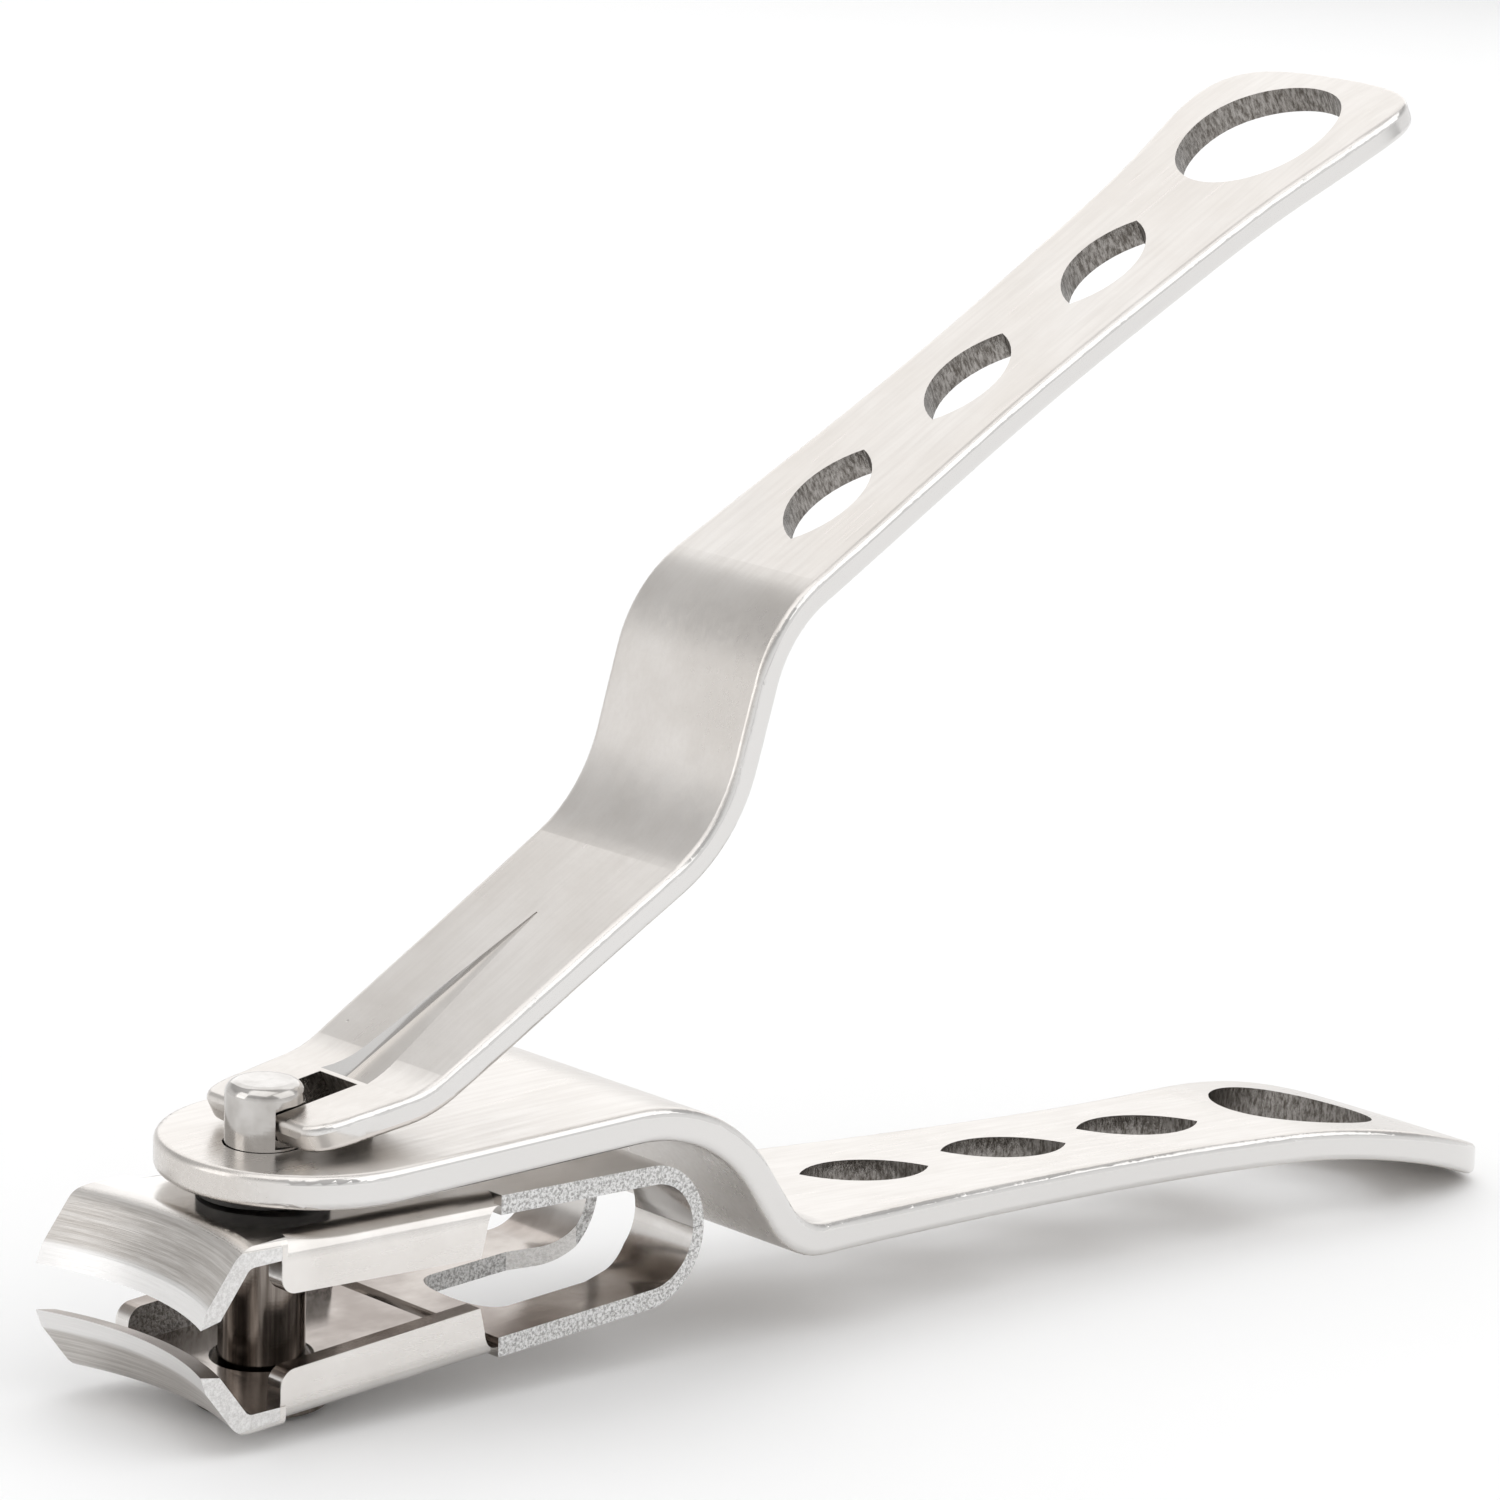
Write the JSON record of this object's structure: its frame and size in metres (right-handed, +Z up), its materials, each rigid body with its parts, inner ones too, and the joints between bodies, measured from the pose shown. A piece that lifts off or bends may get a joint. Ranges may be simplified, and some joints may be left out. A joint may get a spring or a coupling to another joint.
{
  "type": "swivel-head nail clipper",
  "caption": "Nail clipper with a concave-bladed folded cutter on a turning post, and two long bent handles pierced by slanted leaf holes and a large oval.",
  "frame": {"origin": "centre of the bounding box on the surface the clipper lies on, resting on its post foot and the tip of its base handle", "axes": "+X runs from the blades back along the handles, +Y across them, +Z up; the post's axis leans 2.6 degrees from +Z towards -X"},
  "size_m": [0.104, 0.0164, 0.0684],
  "materials": {
    "base_steel": "satin, edges polished",
    "lever_steel": "satin, edges polished",
    "upper_jaw_steel": "polished top, ground blade",
    "lower_jaw_steel": "polished, ground blade",
    "post_steel": "turned and polished",
    "washer_dark": "dark, matt"
  },
  "bodies": {
    "handle_body": {"base_handle": "base_steel", "swivel_washer": "washer_dark"},
    "post_body": {"post": "post_steel"},
    "lever_body": {"lever": "lever_steel"},
    "upper_jaw_body": {"upper_jaw": "upper_jaw_steel"},
    "lower_jaw_body": {"lower_jaw": "lower_jaw_steel"}
  },
  "joints": [
    {"name": "lever_press", "type": "hinge", "parent": "handle_body", "child": "lever_body", "pos_m": [-0.03625, 0, 0.01557], "axis": [0, 1, 0], "range_deg": [0, 15.5], "stiffness_Nm_per_rad": 0.4, "springref_deg": -3.44},
    {"name": "head_swivel", "type": "hinge", "parent": "handle_body", "child": "upper_jaw_body", "pos_m": [-0.04249, 0, 0.01097], "axis": [-0.0461, 0, 0.9989], "continuous": true},
    {"name": "jaw_flex", "type": "hinge", "parent": "upper_jaw_body", "child": "lower_jaw_body", "pos_m": [-0.01756, 0, 0.00762], "axis": [0, 1, 0], "range_deg": [0, 4.2]},
    {"name": "post_lift", "type": "slide", "parent": "handle_body", "child": "post_body", "axis": [-0.0461, 0, 0.9989], "range_m": [0, 0.00162]}
  ],
  "couplings": [
    {"joint": "jaw_flex", "follows": "lever_press", "ratio": 0.2709},
    {"joint": "post_lift", "follows": "lever_press", "m_per_rad": 0.005988}
  ]
}
